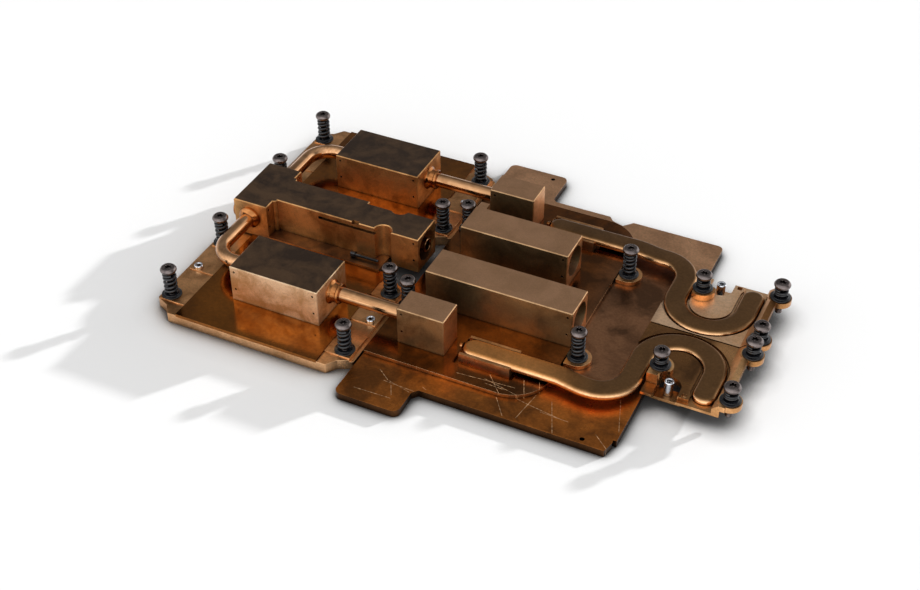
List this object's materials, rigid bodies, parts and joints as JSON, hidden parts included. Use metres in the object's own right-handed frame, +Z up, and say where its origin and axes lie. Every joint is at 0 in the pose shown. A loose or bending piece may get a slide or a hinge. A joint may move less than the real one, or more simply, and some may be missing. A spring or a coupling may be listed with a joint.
{
  "type": "liquid cold plate",
  "caption": "Copper liquid cold plate: linked plates with coolant blocks, tubes, flattened heat pipes and captive spring screws.",
  "frame": {"origin": "on the floor plane under the centre of the bounding box", "axes": "+X along the long side from the manifold towards the end plates, +Y towards the rear plate, +Z up away from the cold faces"},
  "size_m": [0.2456, 0.1766, 0.0228],
  "materials": {
    "plate": "machined copper, mottled with a light patina",
    "cover": "dark glossy oxidised copper",
    "block": "satin copper with cloudy brown tarnish on top",
    "tube": "bright drawn copper with lengthwise streaks",
    "pipe": "copper pipe, brown on its flat top and bright at its edges",
    "lower": "polished dark copper with fine scratches",
    "screw": "black oxide steel, satin",
    "spring": "black coated spring wire",
    "steel": "bright plated steel"
  },
  "bodies": {
    "root": {"centre_manifold": "block", "clamp_screw": "screw", "front_block": "block", "front_elbow_ferrule": "tube", "front_elbow_tube": "tube", "front_end_plate": "plate", "front_end_retaining_clips": "spring", "front_end_screws": "screw", "front_end_spring_seats": "spring", "front_end_springs": "spring", "front_end_standoff": "steel", "front_heat_pipe": "pipe", "front_left_base": "plate", "front_left_cover": "cover", "front_left_nuts": "steel", "front_left_retaining_clips": "spring", "front_left_screws": "screw", "front_left_spring_seats": "spring", "front_left_springs": "spring", "front_link_collar": "tube", "front_link_tube": "tube", "front_pipe_pad": "plate", "inlet_tube": "tube", "lower_plate": "lower", "manifold_plugs": "tube", "mid_front_block": "block", "mid_rear_block": "block", "middle_retaining_clips": "spring", "middle_screws": "screw", "middle_spring_seats": "spring", "middle_springs": "spring", "rear_block": "block", "rear_elbow_ferrule": "tube", "rear_elbow_tube": "tube", "rear_end_plate": "plate", "rear_end_retaining_clips": "spring", "rear_end_screws": "screw", "rear_end_spring_seats": "spring", "rear_end_springs": "spring", "rear_end_standoff": "steel", "rear_heat_pipe": "pipe", "rear_left_base": "plate", "rear_left_cover": "cover", "rear_left_nuts": "steel", "rear_left_retaining_clips": "spring", "rear_left_screws": "screw", "rear_left_spring_seats": "spring", "rear_left_springs": "spring", "rear_link_collar": "tube", "rear_link_tube": "tube", "rear_pipe_pad": "plate", "small_front_block": "block", "small_rear_block": "block", "upper_plate": "lower"}
  },
  "joints": []
}
